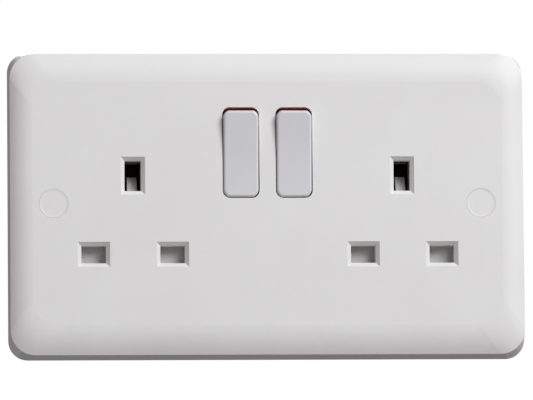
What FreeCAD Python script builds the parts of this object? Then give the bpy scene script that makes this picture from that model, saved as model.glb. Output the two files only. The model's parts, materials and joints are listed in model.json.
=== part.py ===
import FreeCAD, Part
import math
import os

# Twin switched socket outlet with shuttered pin holes, in millimetres.
# The origin is on the wall plane, midway between the two fixing screws.
# X runs to the right, Z up, and Y into the wall, so the front faces -Y.

V = FreeCAD.Vector

# Front plate
plate_width = 146.0
plate_height = 87.0
plate_projection = 9.5
plate_wall = 2.6
skirt_wall = 3.0
plate_corner = 5.5
crease_corner = 7.0
side_draft = 0.5
top_draft = 0.9
edge_drop = 2.2
edge_reach_side = 6.2
edge_reach_top = 8.2
edge_steps = 6

# Fixing screws and the caps over them
fixing_inset = 12.7
fixing_hole_r = 2.0
fixing_boss_r = 5.4
boss_rib_wall = 1.4
boss_rib_setback = 1.5
cap_recess_r = 4.1
cap_recess_depth = 4.5
cap_clearance = 0.05
cap_thickness = 1.2
cap_skirt_depth = 1.6
cap_skirt_wall = 0.8
cap_slot_half = 0.6

# Pin holes, on the centres that a 13 A plug has
outlet_inset = 35.0
pin_pitch_x = 22.23
pin_pitch_z = 22.23
live_z = -14.4
earth_throat_w = 4.65
earth_throat_h = 8.55
line_throat_w = 6.95
line_throat_h = 4.9
hole_flare = 1.1
collar_depth = 1.6
collar_wall = 1.2
earth_pin_w = 4.0
earth_pin_h = 8.0
earth_pin_length = 22.7
line_pin_h = 4.0
line_pin_length = 17.7

# Rocker switches
rocker_x = 7.5
rocker_z = 14.34
rocker_opening_w = 10.4
rocker_opening_h = 25.7
rocker_opening_r = 2.15
rocker_side_gap = 0.25
rocker_end_gap = 0.7
rocker_back_gap = 0.25
rocker_corner_r = 2.3
rocker_rise = 1.3
rocker_dish = 0.5
rocker_wall = 1.2
rocker_edge_r = 0.7
rocker_end_draft = 0.2
rocker_tilt = 5.5
trunnion_r = 1.3
trunnion_length = 1.4
bearing_gap = 0.05
stem_r = 2.6
stem_bore_r = 1.75
flag_w = 7.2
flag_h = 2.4
flag_depth = 0.85
flag_setback = 0.3

# Plunger, see-saw contact and switch contacts
plunger_nose_r = 1.65
plunger_gap = 0.08
plunger_length = 4.6
plunger_shank_r = 0.9
plunger_show = 1.2
contact_tilt = 9.0
contact_width = 4.6
contact_thickness = 1.0
contact_arm = 8.9
fulcrum_r = 0.8
fulcrum_cover = 0.6
hump_back = 0.15
hump_half = 3.0
ridge_share = 0.9
tip_r = 1.4
tip_thickness = 0.9
fixed_tip_thickness = 1.0
tip_arm = 7.3
contact_gap = 0.05

# Shutters
shutter_gap = 0.1
shutter_travel = 5.5
shutter_overlap = 1.6
shutter_lip = 0.45
shutter_stem_w = 6.0
shutter_stem_gap = 0.3
tongue_w = 2.7
tongue_top = 0.35
tongue_back = -0.7
tongue_root = 1.5
tongue_lead = 0.4
tongue_crest = 0.6
rail_wall = 1.2
rail_gap = 0.25
rail_end = 1.0
ledge_half = 3.0
shutter_space = 2.5
shutter_dip = 1.1
shutter_dip_room = 0.9
shutter_spring_length = 10.1
shutter_peg_r = 0.5
shutter_peg_length = 2.2

# Springs
shutter_spring_r = 0.85
shutter_wire_r = 0.15
shutter_coils = 9
rocker_spring_r = 1.35
rocker_wire_r = 0.2
rocker_coils = 7
wire_flats = 6

# Inner cover and back moulding
cover_thickness = 1.2
cheek_gap = 0.15
cheek_half = 3.2
stem_window_w = 1.0
stem_window_h = 3.6
stem_window_r = 1.5
window_room = 0.4
window_r = 0.6
moulding_wall = 1.6
moulding_side_room = 0.7
moulding_end_room = 0.1
moulding_corner = 4.0
floor_y = 14.8
floor_thickness = 1.8
rear_chamfer = 1.2
rib_wall = 1.2
fit_gap = 0.3
clip_rest = 2.0
earth_chamber_room = 0.8
stop_gap = 0.35

# Metal parts
strip_thickness = 0.8
leaf_thickness = 0.6
clip_width = 6.0
clip_height = 6.4
clip_mouth_y = 3.0
pin_tip_gap = 0.4
grip_gap = 3.7
grip_share = 0.35
strip_width = 3.2
neutral_plane_y = 12.0
neutral_bar_z = -20.5
earth_plane_y = 0.6
earth_bar_height = 4.0
earth_tab_w = 10.0
earth_leaf_end_y = 11.5
earth_foot_low = 1.8
earth_foot_high = 3.9
earth_window_room = 0.3
earth_leaf_spread = 0.5
earth_leaf_half = 3.5
live_run_z = -3.6
live_run_x = 19.9
live_strip_start = 5.5
live_bar_w = 4.8
live_bar_tab_h = 4.2
stop_low = 9.6
stop_high = 6.6
stop_half = 1.2
earth_rib_start = 20.0
rivet_r = 1.0
rivet_head_r = 1.6
rivet_head_h = 0.5
rivet_gap = 0.02
earth_rivet_x = 3.4

# Terminals
terminal_bore_r = 2.2
terminal_screw_r = 1.95
terminal_thread_gap = 0.05
terminal_wall = 1.2
terminal_thread = 2.2
terminal_block_w = 7.6
terminal_block_h = 6.4
line_terminal_x = 10.0
line_terminal_z = -27.3
earth_terminal_x = 15.0
earth_terminal_z = 27.4
screw_travel = 3.6
screw_end_gap = 0.1
screw_floor_gap = 0.3
terminal_chamfer = 0.4
screw_chamfer = 0.35
slot_half = 0.4
slot_depth = 0.9
terminal_lip = 0.9
terminal_gap = 0.1
fin_front_y = 1.0
fin_reach = 2.5

# Screws that hold the case together
case_screw_inset_x = 4.9
case_screw_inset_z = 6.2
case_screw_r = 1.35
case_thread_gap = 0.05
case_hole_r = 1.7
case_head_r = 2.6
case_head_h = 1.8
case_head_room = 0.4
case_seat_y = 4.0
case_post_r = 3.3
case_boss_r = 4.0
case_screw_bite = 3.0
case_bite_room = 0.3
drive_reach = 1.6
drive_half = 0.35
drive_depth = 1.0

# Planes worked out from the sizes above
end_x = pin_pitch_x / 2
fixing_x = plate_width / 2 - fixing_inset
outlet_x = plate_width / 2 - outlet_inset
moulding_width = 2 * (outlet_x + end_x + clip_width / 2 + moulding_side_room + moulding_wall)
moulding_height = 2 * (earth_terminal_z + terminal_block_h / 2 + moulding_end_room + moulding_wall)
case_screw_x = moulding_width / 2 - case_screw_inset_x
case_screw_z = moulding_height / 2 - case_screw_inset_z
face_y = -plate_projection
inner_y = face_y + plate_wall
collar_y = inner_y + collar_depth
cover_front_y = collar_y + shutter_space
cover_back_y = cover_front_y + cover_thickness
pivot_y = inner_y + trunnion_r + 2 * bearing_gap
live_base_y = face_y + line_pin_length + pin_tip_gap
live_plane_y = live_base_y + leaf_thickness
earth_z = live_z + pin_pitch_z
rear_y = floor_y + floor_thickness
screw_rear_y = floor_y - screw_floor_gap
fixed_tip_front_y = live_plane_y - fixed_tip_thickness
fulcrum_front = fulcrum_r + bearing_gap + fulcrum_cover
arm_offset = fulcrum_front * math.cos(math.radians(contact_tilt))
fulcrum_y = fixed_tip_front_y - contact_gap - tip_thickness - contact_thickness + arm_offset
live_bar_y = fulcrum_y + fulcrum_r + 2 * bearing_gap
nose_y = fulcrum_y - fulcrum_front - plunger_gap - plunger_nose_r
sides = {"left": -1, "right": 1}

# How far joined pieces reach into each other, and how far cuts run past a surface
root = 0.5
over = 0.1


def box(x0, x1, y0, y1, z0, z1):
    corner = V(min(x0, x1), min(y0, y1), min(z0, z1))
    return Part.makeBox(abs(x1 - x0), abs(y1 - y0), abs(z1 - z0), corner)


def rod_x(r, x0, x1, y, z):
    return Part.makeCylinder(r, x1 - x0, V(x0, y, z), V(1, 0, 0))


def rod_y(r, x, z, y0, y1):
    return Part.makeCylinder(r, y1 - y0, V(x, y0, z), V(0, 1, 0))


def rod_z(r, x, y, z0, z1):
    return Part.makeCylinder(r, z1 - z0, V(x, y, z0), V(0, 0, 1))


def save(name, shape):
    shape.exportStep("parts/" + name + ".step")


def rounded_wire(width, height, radius, y, cx=0.0, cz=0.0):
    """A rectangle with round corners, in the plane at depth y."""
    a = width / 2 - radius
    b = height / 2 - radius
    half = math.sqrt(0.5)
    edges = []
    for sx, sz, turn in ((1, 1, 0), (-1, 1, 1), (-1, -1, 2), (1, -1, 3)):
        middle = V(cx + sx * a, y, cz + sz * b)
        start = V(sx, 0, 0) if turn % 2 == 0 else V(0, 0, sz)
        end = V(0, 0, sz) if turn % 2 == 0 else V(sx, 0, 0)
        mid = V(sx * half, 0, sz * half)
        edges.append((middle + start * radius, middle + mid * radius, middle + end * radius))
    wire = []
    for index, (start, mid, end) in enumerate(edges):
        wire.append(Part.Arc(start, mid, end).toShape())
        wire.append(Part.LineSegment(end, edges[(index + 1) % 4][0]).toShape())
    return Part.Wire(wire)


def rounded_slab(width, height, radius, y0, y1, cx=0.0, cz=0.0):
    face = Part.Face(rounded_wire(width, height, radius, y0, cx, cz))
    return face.extrude(V(0, y1 - y0, 0))


def profile_x(points, x0, x1):
    """Extrude a closed outline of (y, z) points along X."""
    wire = Part.makePolygon([V(x0, y, z) for y, z in points + points[:1]])
    return Part.Face(wire).extrude(V(x1 - x0, 0, 0))


def profile_z(points, z0, z1):
    """Extrude a closed outline of (x, y) points along Z."""
    wire = Part.makePolygon([V(x, y, z0) for x, y in points + points[:1]])
    return Part.Face(wire).extrude(V(0, 0, z1 - z0))


def join(shapes):
    return shapes[0].fuse(shapes[1:]).removeSplitter()


def edge_inset(reach, drop):
    """How far the rounded front edge lies inside the crease, at a drop below the face."""
    radius = (reach ** 2 + edge_drop ** 2) / (2 * edge_drop)
    return reach - math.sqrt(max(0.0, 2 * radius * drop - drop ** 2))


def plate_blank():
    """The plate's outside: a drafted skirt and a soft edge that rolls over to the face."""
    crease_w = plate_width - 2 * side_draft
    crease_h = plate_height - 2 * top_draft
    crease_y = face_y + edge_drop
    sections = []
    for step in range(edge_steps + 1):
        share = math.sin(math.pi / 2 * (1 - step / edge_steps))
        drop = edge_drop * share ** 2
        width = crease_w - 2 * edge_inset(edge_reach_side, drop)
        height = crease_h - 2 * edge_inset(edge_reach_top, drop)
        sections.append(rounded_wire(width, height, crease_corner, face_y + drop))
    crown = Part.makeLoft(sections, True, False)
    foot = rounded_wire(plate_width, plate_height, plate_corner, 0)
    crease = rounded_wire(crease_w, crease_h, crease_corner, crease_y)
    skirt = Part.makeLoft([foot, crease], True, True)
    return crown.fuse(skirt)


def flared_hole(cx, cz, width, height):
    """A rectangular pin hole with a 45 degree lead-in."""
    wires = []
    for y, grow in ((face_y - over, hole_flare + over), (face_y + hole_flare, 0.0)):
        a = width / 2 + grow
        b = height / 2 + grow
        corners = [V(cx - a, y, cz - b), V(cx + a, y, cz - b), V(cx + a, y, cz + b)]
        corners += [V(cx - a, y, cz + b), V(cx - a, y, cz - b)]
        wires.append(Part.makePolygon(corners))
    lead = Part.makeLoft(wires, True, True)
    throat = box(cx - width / 2, cx + width / 2, face_y + hole_flare - over, collar_y + over,
                 cz - height / 2, cz + height / 2)
    return lead.fuse(throat)


def pin_places():
    """Centre, width and height of the throat of each pin hole."""
    places = []
    for sign in sides.values():
        x = sign * outlet_x
        places.append((x, earth_z, earth_throat_w, earth_throat_h))
        for offset in (-end_x, end_x):
            places.append((x + offset, live_z, line_throat_w, line_throat_h))
    return places


def collars():
    """A collar behind the face round each pin hole, which the shutter slides against."""
    rings = []
    for x, z, width, height in pin_places():
        a = width / 2 + collar_wall
        b = height / 2 + collar_wall
        rings.append(box(x - a, x + a, inner_y - root, collar_y, z - b, z + b))
    return rings


# Shutter sizes that the rails and the spring ledge share
shutter_half = end_x + line_throat_w / 2 + shutter_overlap
shutter_top_z = live_z + line_throat_h / 2 + shutter_lip
shutter_low_z = live_z - line_throat_h / 2 - shutter_lip
ledge_z = shutter_low_z - shutter_spring_length


def plate_inside():
    """Collars, bosses, posts, shutter rails and spring ledges behind the face."""
    pieces = collars()
    for sign in sides.values():
        x = sign * fixing_x
        pieces.append(rod_y(fixing_boss_r, x, 0, inner_y - root, 0))
        pieces.append(box(x, sign * (plate_width / 2 - skirt_wall + root), inner_y - root, -boss_rib_setback,
                          -boss_rib_wall / 2, boss_rib_wall / 2))
        for up in (-1, 1):
            post_x = sign * case_screw_x
            pieces.append(rod_y(case_post_r, post_x, up * case_screw_z, inner_y - root, cover_front_y))
        outlet = sign * outlet_x
        for edge in (-1, 1):
            near = outlet + edge * (shutter_half + rail_gap)
            far = near + edge * rail_wall
            pieces.append(box(near, far, inner_y - root, cover_front_y,
                              shutter_low_z - shutter_travel - rail_end, shutter_top_z + rail_end))
        pieces.append(box(outlet - ledge_half, outlet + ledge_half, inner_y - root, cover_front_y,
                          ledge_z - rail_wall, ledge_z))
    return pieces


def front_plate():
    plate = plate_blank()
    hollow = rounded_slab(plate_width - 2 * skirt_wall, plate_height - 2 * skirt_wall,
                          plate_corner - skirt_wall / 2, inner_y, over)
    plate = plate.cut(hollow).fuse(plate_inside())
    cuts = [flared_hole(*place) for place in pin_places()]
    for sign in sides.values():
        cuts.append(rounded_slab(rocker_opening_w, rocker_opening_h, rocker_opening_r,
                                 face_y - over, inner_y + over, sign * rocker_x, rocker_z))
        x = sign * fixing_x
        cuts.append(rod_y(cap_recess_r, x, 0, face_y - over, face_y + cap_recess_depth))
        cuts.append(rod_y(fixing_hole_r, x, 0, face_y, over))
        for up in (-1, 1):
            cuts.append(rod_y(case_screw_r + case_thread_gap, sign * case_screw_x, up * case_screw_z,
                              cover_front_y - case_screw_bite - case_bite_room, cover_front_y + over))
    return plate.cut(cuts)


def screw_cap(sign):
    """A push-in disc with a short sprung skirt, flush with the face."""
    x = sign * fixing_x
    r = cap_recess_r - cap_clearance
    disc = rod_y(r, x, 0, face_y, face_y + cap_thickness)
    skirt = rod_y(r, x, 0, face_y + cap_thickness, face_y + cap_thickness + cap_skirt_depth)
    skirt = skirt.cut(rod_y(r - cap_skirt_wall, x, 0, face_y, face_y + 2 * cap_recess_depth))
    slot = box(x - cap_slot_half, x + cap_slot_half, face_y + cap_thickness, face_y + cap_recess_depth, -r, r)
    return disc.fuse(skirt.cut(slot)).removeSplitter()


# Rocker sizes in its level position, measured from its pivot
rocker_half_w = rocker_opening_w / 2 - rocker_side_gap
rocker_half_h = rocker_opening_h / 2 - rocker_end_gap
rocker_front = face_y - rocker_rise - pivot_y
end_swing = (rocker_half_h + rocker_end_draft) * math.sin(math.radians(rocker_tilt))
rocker_end_back = cover_front_y - pivot_y - end_swing - rocker_back_gap
rocker_mid_back = cover_front_y - pivot_y - rocker_back_gap


def tilt_rocker(shape, x):
    """Turn a piece from the level position to ON, with the upper end standing out."""
    shape.rotate(V(x, pivot_y, rocker_z), V(1, 0, 0), rocker_tilt)
    return shape


def rocker_outline(inset, beyond=0.0):
    """Side view of the rocker as a face at X = 0: a dished front, drafted ends, a hipped back."""
    top = rocker_half_h - inset
    back_top = rocker_half_h + rocker_end_draft - inset
    front = rocker_front + inset
    dish = front + rocker_dish
    points = [V(0, front, -top), V(0, dish, 0), V(0, front, top)]
    end_back = rocker_end_back + beyond
    low = [V(0, end_back, back_top), V(0, rocker_mid_back + beyond, 0), V(0, end_back, -back_top)]
    edges = [Part.Arc(*points).toShape()]
    chain = [points[2]] + low + [points[0]]
    for start, end in zip(chain[:-1], chain[1:]):
        edges.append(Part.LineSegment(start, end).toShape())
    return Part.Face(Part.Wire(edges))


def rocker_cap(x):
    body = rocker_outline(0.0)
    body.translate(V(x - rocker_half_w, pivot_y, rocker_z))
    body = body.extrude(V(2 * rocker_half_w, 0, 0))
    limit = rounded_slab(2 * rocker_half_w, 2 * (rocker_half_h + rocker_end_draft), rocker_corner_r,
                         pivot_y + rocker_front - over, cover_back_y, x, rocker_z)
    body = body.common(limit)
    rim = [edge for edge in body.Edges if edge.BoundBox.YMax < pivot_y + rocker_front + rocker_dish + over]
    return body.makeFillet(rocker_edge_r, rim)


def rocker_hollow(x):
    """The space inside the rocker, open at the back."""
    cavity = rocker_outline(rocker_wall, rocker_wall)
    cavity.translate(V(x - rocker_half_w + rocker_wall, pivot_y, rocker_z))
    return cavity.extrude(V(2 * (rocker_half_w - rocker_wall), 0, 0))


def flag_block(x):
    """The space of the red insert in the rocker's upper end."""
    top = rocker_z + rocker_half_h + rocker_end_draft
    front = face_y - rocker_rise + flag_setback
    return box(x - flag_w / 2, x + flag_w / 2, front, front + flag_h, top - flag_depth, top + over)


def rocker(x):
    body = rocker_cap(x)
    shell = body.cut(rocker_hollow(x))
    stem_end = nose_y - plunger_show
    stem = rod_y(stem_r, x, rocker_z, pivot_y + rocker_front + rocker_dish + root, stem_end)
    axle = rod_x(trunnion_r, x - rocker_half_w - trunnion_length, x + rocker_half_w + trunnion_length,
                 pivot_y, rocker_z)
    shell = shell.fuse([stem, axle])
    bore = rod_y(stem_bore_r, x, rocker_z, pivot_y + rocker_front + rocker_dish + rocker_wall, stem_end + over)
    shell = shell.cut([bore, flag_block(x)])
    return tilt_rocker(shell.removeSplitter(), x)


def on_flag(x):
    return tilt_rocker(flag_block(x).common(rocker_cap(x)), x)


def plunger(x):
    """A round-nosed plunger whose shank sits inside the spring."""
    nose = Part.makeSphere(plunger_nose_r, V(x, nose_y, rocker_z))
    barrel = rod_y(plunger_nose_r, x, rocker_z, nose_y - plunger_length / 2, nose_y)
    shank = rod_y(plunger_shank_r, x, rocker_z, nose_y - plunger_length, nose_y - plunger_length / 2)
    return tilt_rocker(join([nose, barrel, shank]), x)


def coil(mean_r, wire_r, length, turns):
    """A compression spring along +Z from the origin, its wire drawn with six flats."""
    pitch = (length - 2 * wire_r) / turns
    helix = Part.makeHelix(pitch, pitch * turns, mean_r)
    corners = []
    for step in range(wire_flats + 1):
        turn = 2 * math.pi * step / wire_flats
        corners.append(V(mean_r + wire_r * math.cos(turn), 0, wire_r * math.sin(turn)))
    section = Part.makePolygon(corners)
    spring = Part.Wire(helix).makePipeShell([section], True, True)
    spring.translate(V(0, 0, wire_r))
    return spring


def rocker_spring(x):
    start = pivot_y + rocker_front + rocker_dish + rocker_wall
    end = nose_y - plunger_length / 2
    spring = coil(rocker_spring_r, rocker_wire_r, end - start, rocker_coils)
    spring.rotate(V(0, 0, 0), V(1, 0, 0), -90)
    spring.translate(V(x, start, rocker_z))
    return tilt_rocker(spring, x)


def contact_arm_piece(x, up):
    """One arm of the see-saw, bent forward so that it lies flat when pressed home."""
    arm = box(x - contact_width / 2, x + contact_width / 2, fulcrum_y - fulcrum_front,
              fulcrum_y - fulcrum_front + contact_thickness, rocker_z, rocker_z + up * contact_arm)
    arm.rotate(V(x, fulcrum_y - fulcrum_front, rocker_z), V(1, 0, 0), up * contact_tilt)
    return arm


def tilt_contact(shape, x):
    shape.rotate(V(x, fulcrum_y, rocker_z), V(1, 0, 0), -contact_tilt)
    return shape


def moving_contact(x):
    arms = [contact_arm_piece(x, up) for up in (-1, 1)]
    half = contact_width / 2
    hump = rod_x(fulcrum_r + bearing_gap + fulcrum_cover, x - half, x + half, fulcrum_y, rocker_z)
    flat = box(x - half, x + half, fulcrum_y - fulcrum_front, fulcrum_y - hump_back,
               rocker_z - hump_half, rocker_z + hump_half)
    body = join(arms + [hump.common(flat)])
    body = body.cut(rod_x(fulcrum_r + bearing_gap, x - half - over, x + half + over, fulcrum_y, rocker_z))
    return tilt_contact(body, x)


def moving_tip(x):
    tip = rod_y(tip_r, x, rocker_z + tip_arm, fulcrum_y - fulcrum_front + contact_thickness,
                fulcrum_y - fulcrum_front + contact_thickness + tip_thickness)
    tip.rotate(V(x, fulcrum_y - fulcrum_front, rocker_z), V(1, 0, 0), contact_tilt)
    return tilt_contact(tip, x)


def tip_centre_z():
    """Height of the silver tips when the switch is on."""
    return rocker_z + tip_arm + fulcrum_front * math.sin(math.radians(contact_tilt))


def fixed_tip(x):
    return rod_y(tip_r, x, tip_centre_z(), fixed_tip_front_y, live_plane_y)


def shutter(sign):
    """A slide that blinds both line holes, with a ramp standing in the earth hole."""
    x = sign * outlet_x
    front = collar_y + shutter_gap
    back = cover_front_y - shutter_gap
    bar = box(x - shutter_half, x + shutter_half, front, back, shutter_low_z, shutter_top_z)
    stem = box(x - shutter_stem_w / 2, x + shutter_stem_w / 2, front, back,
               shutter_top_z - root, earth_z - earth_throat_h / 2 - shutter_stem_gap)
    foot = earth_z - earth_throat_h / 2
    ramp = [(front, foot - tongue_root), (front, foot), (front + tongue_lead, foot)]
    ramp += [(tongue_back - tongue_crest, earth_z + tongue_top), (tongue_back, earth_z + tongue_top)]
    ramp += [(tongue_back, foot - tongue_root)]
    tongue = profile_x(ramp, x - tongue_w / 2, x + tongue_w / 2)
    peg = rod_z(shutter_peg_r, x, (front + back) / 2, shutter_low_z - shutter_peg_length, shutter_low_z)
    dips = []
    for offset in (-end_x, end_x):
        a = line_throat_w / 2 + shutter_dip_room
        dips.append(box(x + offset - a, x + offset + a, front - over, front + shutter_dip,
                        shutter_low_z - over, live_z + line_throat_h / 2))
    return join([bar, stem, tongue, peg]).cut(dips)


def shutter_spring(sign):
    spring = coil(shutter_spring_r, shutter_wire_r, shutter_spring_length, shutter_coils)
    spring.translate(V(sign * outlet_x, (collar_y + cover_front_y) / 2, ledge_z))
    return spring


def rect(x0, x1, z0, z1):
    return (min(x0, x1), max(x0, x1), min(z0, z1), max(z0, z1))


def pad_rect(x, z, width, height):
    return rect(x - width / 2, x + width / 2, z - height / 2, z + height / 2)


half_strip = strip_width / 2
run_top_z = tip_centre_z()


def live_strip_rects(side):
    """The pressed strip from a fixed switch contact to a live clip."""
    sign = sides[side]
    clip_x = sign * outlet_x + end_x
    column = sign * live_run_x
    top = rect(sign * live_strip_start, column + sign * half_strip, run_top_z - half_strip,
               run_top_z + half_strip)
    pad = pad_rect(clip_x, live_z, clip_width, clip_height)
    if side == "left":
        down = rect(column - half_strip, column + half_strip, live_z - half_strip, run_top_z + half_strip)
        along = rect(clip_x, column + half_strip, live_z - half_strip, live_z + half_strip)
        return [top, down, along, pad]
    down = rect(column - half_strip, column + half_strip, live_run_z - half_strip, run_top_z + half_strip)
    along = rect(column - half_strip, clip_x + clip_width / 2, live_run_z - half_strip, live_run_z + half_strip)
    drop = rect(clip_x - clip_width / 2, clip_x + clip_width / 2, live_z, live_run_z + half_strip)
    return [top, down, along, drop, pad]


def neutral_rects():
    low = neutral_bar_z - half_strip
    high = neutral_bar_z + half_strip
    left = -outlet_x - end_x
    right = outlet_x - end_x
    rects = [rect(left - clip_width / 2, right + clip_width / 2, low, high)]
    for x in (left, right):
        rects.append(rect(x - clip_width / 2, x + clip_width / 2, low, live_z + clip_height / 2))
    rects.append(rect(-line_terminal_x - terminal_block_w / 2, -line_terminal_x + terminal_block_w / 2,
                      line_terminal_z - terminal_block_h / 2, high))
    return rects


def live_bar_rects():
    foot = line_terminal_z - terminal_block_h / 2
    reach = rocker_x + contact_width / 2
    half = live_bar_w / 2
    top = rocker_z + live_bar_tab_h / 2
    return [rect(-reach, reach, top - live_bar_tab_h, top),
            rect(-half, half, foot, top),
            rect(-half, line_terminal_x + terminal_block_w / 2, foot, line_terminal_z + terminal_block_h / 2)]


def earth_rects():
    half = earth_bar_height / 2
    reach = outlet_x + earth_tab_w / 2
    rects = [rect(-reach, reach, earth_terminal_z - half, earth_terminal_z + half)]
    for sign in sides.values():
        x = sign * outlet_x
        rects.append(rect(x - earth_tab_w / 2, x + earth_tab_w / 2,
                          earth_z + earth_pin_h / 2 + earth_window_room, earth_terminal_z + half))
    return rects


def pressing(rects, y0):
    return join([box(x0, x1, y0, y0 + strip_thickness, z0, z1) for x0, x1, z0, z1 in rects])


def live_bar():
    """The feed bar, with a rolled ridge under each see-saw and a tab at the live terminal."""
    bar = pressing(live_bar_rects(), live_bar_y)
    ridges = []
    for sign in sides.values():
        x = sign * rocker_x
        half = contact_width / 2
        ridges.append(rod_x(fulcrum_r, x - half, x + half, fulcrum_y, rocker_z))
        ridges.append(box(x - half, x + half, fulcrum_y, live_bar_y + over,
                          rocker_z - fulcrum_r * ridge_share, rocker_z + fulcrum_r * ridge_share))
    hole = rod_y(terminal_screw_r + terminal_thread_gap, line_terminal_x, line_terminal_z,
                 live_bar_y - over, live_bar_y + strip_thickness + over)
    return join([bar] + ridges).cut(hole)


def line_rivets():
    """Place, front face and back face of the rivet behind each line clip."""
    places = []
    for sign in sides.values():
        x = sign * outlet_x
        places.append((x + end_x, live_z, live_base_y, live_plane_y + strip_thickness))
        places.append((x - end_x, live_z, neutral_plane_y - leaf_thickness, neutral_plane_y + strip_thickness))
    return places


def earth_rivets():
    """Place, front face and back face of the two rivets at the top of each earth clip."""
    places = []
    back = earth_plane_y + strip_thickness + leaf_thickness
    z = earth_z + earth_pin_h / 2 + earth_window_room + rivet_head_r
    for sign in sides.values():
        for edge in (-1, 1):
            places.append((sign * outlet_x + edge * earth_rivet_x, z, earth_plane_y, back))
    return places


def rivet_holes():
    return [rod_y(rivet_r + rivet_gap, x, z, front - over, back + over)
            for x, z, front, back in line_rivets() + earth_rivets()]


def rivets():
    """Every rivet: a shank flush in front, with a round head behind."""
    pieces = []
    for x, z, front, back in line_rivets() + earth_rivets():
        shank = rod_y(rivet_r, x, z, front, back + over)
        head = rod_y(rivet_head_r, x, z, back, back + rivet_head_h)
        rim = [edge for edge in head.Edges if edge.BoundBox.YMin > back + rivet_head_h / 2]
        pieces.append(shank.fuse(head.makeChamfer(rivet_head_h / 2, rim)).removeSplitter())
    return Part.makeCompound(pieces)


def live_strip(side):
    return pressing(live_strip_rects(side), live_plane_y).cut(rivet_holes())


def neutral_bar():
    hole = rod_y(terminal_screw_r + terminal_thread_gap, -line_terminal_x, line_terminal_z,
                 neutral_plane_y - over, neutral_plane_y + strip_thickness + over)
    return pressing(neutral_rects(), neutral_plane_y).cut([hole] + rivet_holes())


def earth_bar():
    return pressing(earth_rects(), earth_plane_y).cut(rivet_holes())


def leaf_outline(mouth_y, base_y, grip, spread):
    """Half section of a sprung leaf: bowed in to the grip, flared at the mouth."""
    grip_y = mouth_y + (base_y - mouth_y) * grip_share
    inner = [(mouth_y, spread), (grip_y, grip), (base_y, spread)]
    outer = [(y, z + leaf_thickness) for y, z in reversed(inner)]
    return inner + outer


def line_clip(x, base_y):
    """Two sprung leaves on a flat foot, which grip a line pin from above and below."""
    spread = clip_height / 2 - leaf_thickness
    outline = leaf_outline(clip_mouth_y, base_y + leaf_thickness, grip_gap / 2, spread)
    leaves = []
    for up in (-1, 1):
        points = [(y, live_z + up * z) for y, z in outline]
        leaves.append(profile_x(points, x - clip_width / 2, x + clip_width / 2))
    foot = box(x - clip_width / 2, x + clip_width / 2, base_y, base_y + leaf_thickness,
               live_z - clip_height / 2, live_z + clip_height / 2)
    return join(leaves + [foot]).cut(rivet_holes())


def earth_clip(sign):
    """A flat flange with a window for the earth pin and two leaves folded back beside it."""
    x = sign * outlet_x
    back = earth_plane_y + strip_thickness
    flange = box(x - earth_tab_w / 2, x + earth_tab_w / 2, back, back + leaf_thickness,
                 earth_z - earth_pin_h / 2 - earth_foot_low, earth_z + earth_pin_h / 2 + earth_foot_high)
    spread = earth_pin_w / 2 + earth_leaf_spread
    half = earth_pin_h / 2 + earth_window_room
    window = box(x - spread, x + spread, back - over, back + leaf_thickness + over,
                 earth_z - half, earth_z + half)
    outline = leaf_outline(earth_leaf_end_y, back, grip_gap / 2, spread)
    leaves = []
    for edge in (-1, 1):
        points = [(x + edge * a, y) for y, a in outline]
        leaves.append(profile_z(points, earth_z - earth_leaf_half, earth_z + earth_leaf_half))
    return join([flange.cut(window)] + leaves).cut(rivet_holes())


def terminal(x, z, rear):
    """A brass block with a wire bore along Z and a tapped hole from the rear."""
    front = rear - terminal_depth
    bore_y = rear - terminal_thread - terminal_bore_r
    block = box(x - terminal_block_w / 2, x + terminal_block_w / 2, front, rear,
                z - terminal_block_h / 2, z + terminal_block_h / 2)
    block = block.makeChamfer(terminal_chamfer, block.Edges)
    bore = rod_z(terminal_bore_r, x, bore_y, z - terminal_block_h, z + terminal_block_h)
    tapped = rod_y(terminal_screw_r + terminal_thread_gap, x, z, bore_y, rear + over)
    return block.cut([bore, tapped])


terminal_depth = terminal_wall + 2 * terminal_bore_r + terminal_thread


def terminal_data():
    """Place and rear face of each terminal block."""
    earth_rear = earth_plane_y + strip_thickness + terminal_depth
    return {
        "live": (line_terminal_x, line_terminal_z, live_bar_y),
        "neutral": (-line_terminal_x, line_terminal_z, neutral_plane_y),
        "earth_left": (-earth_terminal_x, earth_terminal_z, earth_rear),
        "earth_right": (earth_terminal_x, earth_terminal_z, earth_rear),
    }


def terminal_screw(x, z, rear):
    """A slotted screw, backed off until its end just clears the wire bore."""
    start = rear - terminal_thread + screw_end_gap
    shank = rod_y(terminal_screw_r, x, z, start, screw_rear_y)
    ends = [edge for edge in shank.Edges if edge.Closed]
    shank = shank.makeChamfer(screw_chamfer, ends)
    slot = box(x - slot_half, x + slot_half, screw_rear_y - slot_depth, screw_rear_y + over,
               z - 2 * terminal_screw_r, z + 2 * terminal_screw_r)
    return shank.cut(slot)


def case_screws():
    screws = []
    for sign in (-1, 1):
        for up in (-1, 1):
            x = sign * case_screw_x
            z = up * case_screw_z
            shank = rod_y(case_screw_r, x, z, cover_front_y - case_screw_bite, case_seat_y + over)
            head = rod_y(case_head_r, x, z, case_seat_y, case_seat_y + case_head_h)
            rim = [edge for edge in head.Edges if edge.BoundBox.YMin > case_seat_y + case_head_h / 2]
            head = head.makeChamfer(case_head_h / 4, rim)
            end = case_seat_y + case_head_h + over
            floor = case_seat_y + case_head_h - drive_depth
            cross = box(x - drive_reach, x + drive_reach, floor, end, z - drive_half, z + drive_half)
            across = box(x - drive_half, x + drive_half, floor, end, z - drive_reach, z + drive_reach)
            screws.append(shank.fuse(head).cut([cross, across]))
    return Part.makeCompound(screws)


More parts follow.
